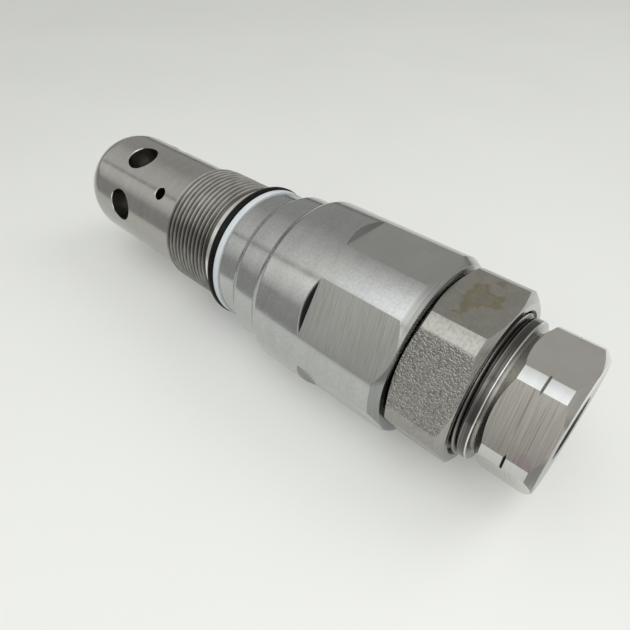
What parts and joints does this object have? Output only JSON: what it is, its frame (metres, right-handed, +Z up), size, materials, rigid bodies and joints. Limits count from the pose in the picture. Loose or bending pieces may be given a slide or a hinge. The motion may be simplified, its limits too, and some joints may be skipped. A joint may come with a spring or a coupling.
{
  "type": "hydraulic relief valve cartridge",
  "caption": "Screw-in hydraulic relief valve cartridge with a drilled nose sleeve, sealed housing, lock nut and adjusting plug with a pilot port.",
  "frame": {"origin": "on the valve's axis, at the middle of the manifold thread", "axes": "+X along the valve's axis from the nose towards the adjusting plug, +Z up with the valve lying on its side and one housing flat facing up"},
  "size_m": [0.1506, 0.0426, 0.0426],
  "materials": {
    "ground_steel": "fine ground and lightly polished, warm grey",
    "turned_steel": "satin turned lands, milled flats, fine cut thread",
    "nut_steel": "cold-formed, slightly pebbled flats with bright corners",
    "plug_steel": "milled flats with cross lines, bright turned corners",
    "hardened_steel": "hardened and ground",
    "spring_steel": "dark oil-tempered wire",
    "black_rubber": "smooth black nitrile rubber with a wet-looking gloss",
    "white_ptfe": "smooth white low-friction plastic"
  },
  "bodies": {
    "valve_body": {"nose_sleeve": "ground_steel", "sleeve_o_ring": "black_rubber", "sleeve_backup_ring": "white_ptfe", "housing": "turned_steel", "housing_o_ring": "black_rubber", "housing_backup_ring": "white_ptfe", "pilot_seat": "hardened_steel", "pilot_seat_o_ring": "black_rubber", "main_spring": "spring_steel", "pilot_spring": "spring_steel"},
    "main_stage": {"main_poppet": "hardened_steel"},
    "pilot_stage": {"pilot_poppet": "hardened_steel"},
    "adjuster_seals": {"adjuster_o_ring": "black_rubber", "adjuster_backup_ring": "white_ptfe"},
    "adjuster": {"adjusting_plug": "plug_steel", "piston_stop_ring": "spring_steel"},
    "booster": {"boost_piston": "hardened_steel", "piston_o_ring": "black_rubber", "piston_backup_ring": "white_ptfe", "spring_retainer": "hardened_steel"},
    "locking_nut": {"lock_nut": "nut_steel"}
  },
  "joints": [
    {"name": "main_poppet_lift", "type": "slide", "parent": "valve_body", "child": "main_stage", "axis": [1, 0, 0], "range_m": [0, 0.0035], "stiffness_N_per_m": 3000, "springref_m": -0.01, "deforming": ["main_spring"]},
    {"name": "pilot_poppet_lift", "type": "slide", "parent": "valve_body", "child": "pilot_stage", "axis": [1, 0, 0], "range_m": [0, 0.001], "stiffness_N_per_m": 5000, "springref_m": -0.008, "deforming": ["pilot_spring"]},
    {"name": "adjuster_travel", "type": "slide", "parent": "valve_body", "child": "adjuster_seals", "axis": [1, 0, 0], "range_m": [-0.003, 0.0015], "deforming": ["pilot_spring"]},
    {"name": "adjuster_turn", "type": "hinge", "parent": "adjuster_seals", "child": "adjuster", "pos_m": [0.08325, 0, 0], "axis": [1, 0, 0], "range_deg": [-720, 360]},
    {"name": "boost_stroke", "type": "slide", "parent": "adjuster_seals", "child": "booster", "axis": [-1, 0, 0], "range_m": [0, 0.0028], "stiffness_N_per_m": 5000, "springref_m": -0.008, "deforming": ["pilot_spring"]},
    {"name": "lock_nut_turn", "type": "hinge", "parent": "valve_body", "child": "locking_nut", "pos_m": [0.07325, 0, 0], "axis": [1, 0, 0], "range_deg": [0, 360]}
  ],
  "couplings": [
    {"joint": "adjuster_turn", "follows": "adjuster_travel", "rad_per_m": 4188.8}
  ]
}
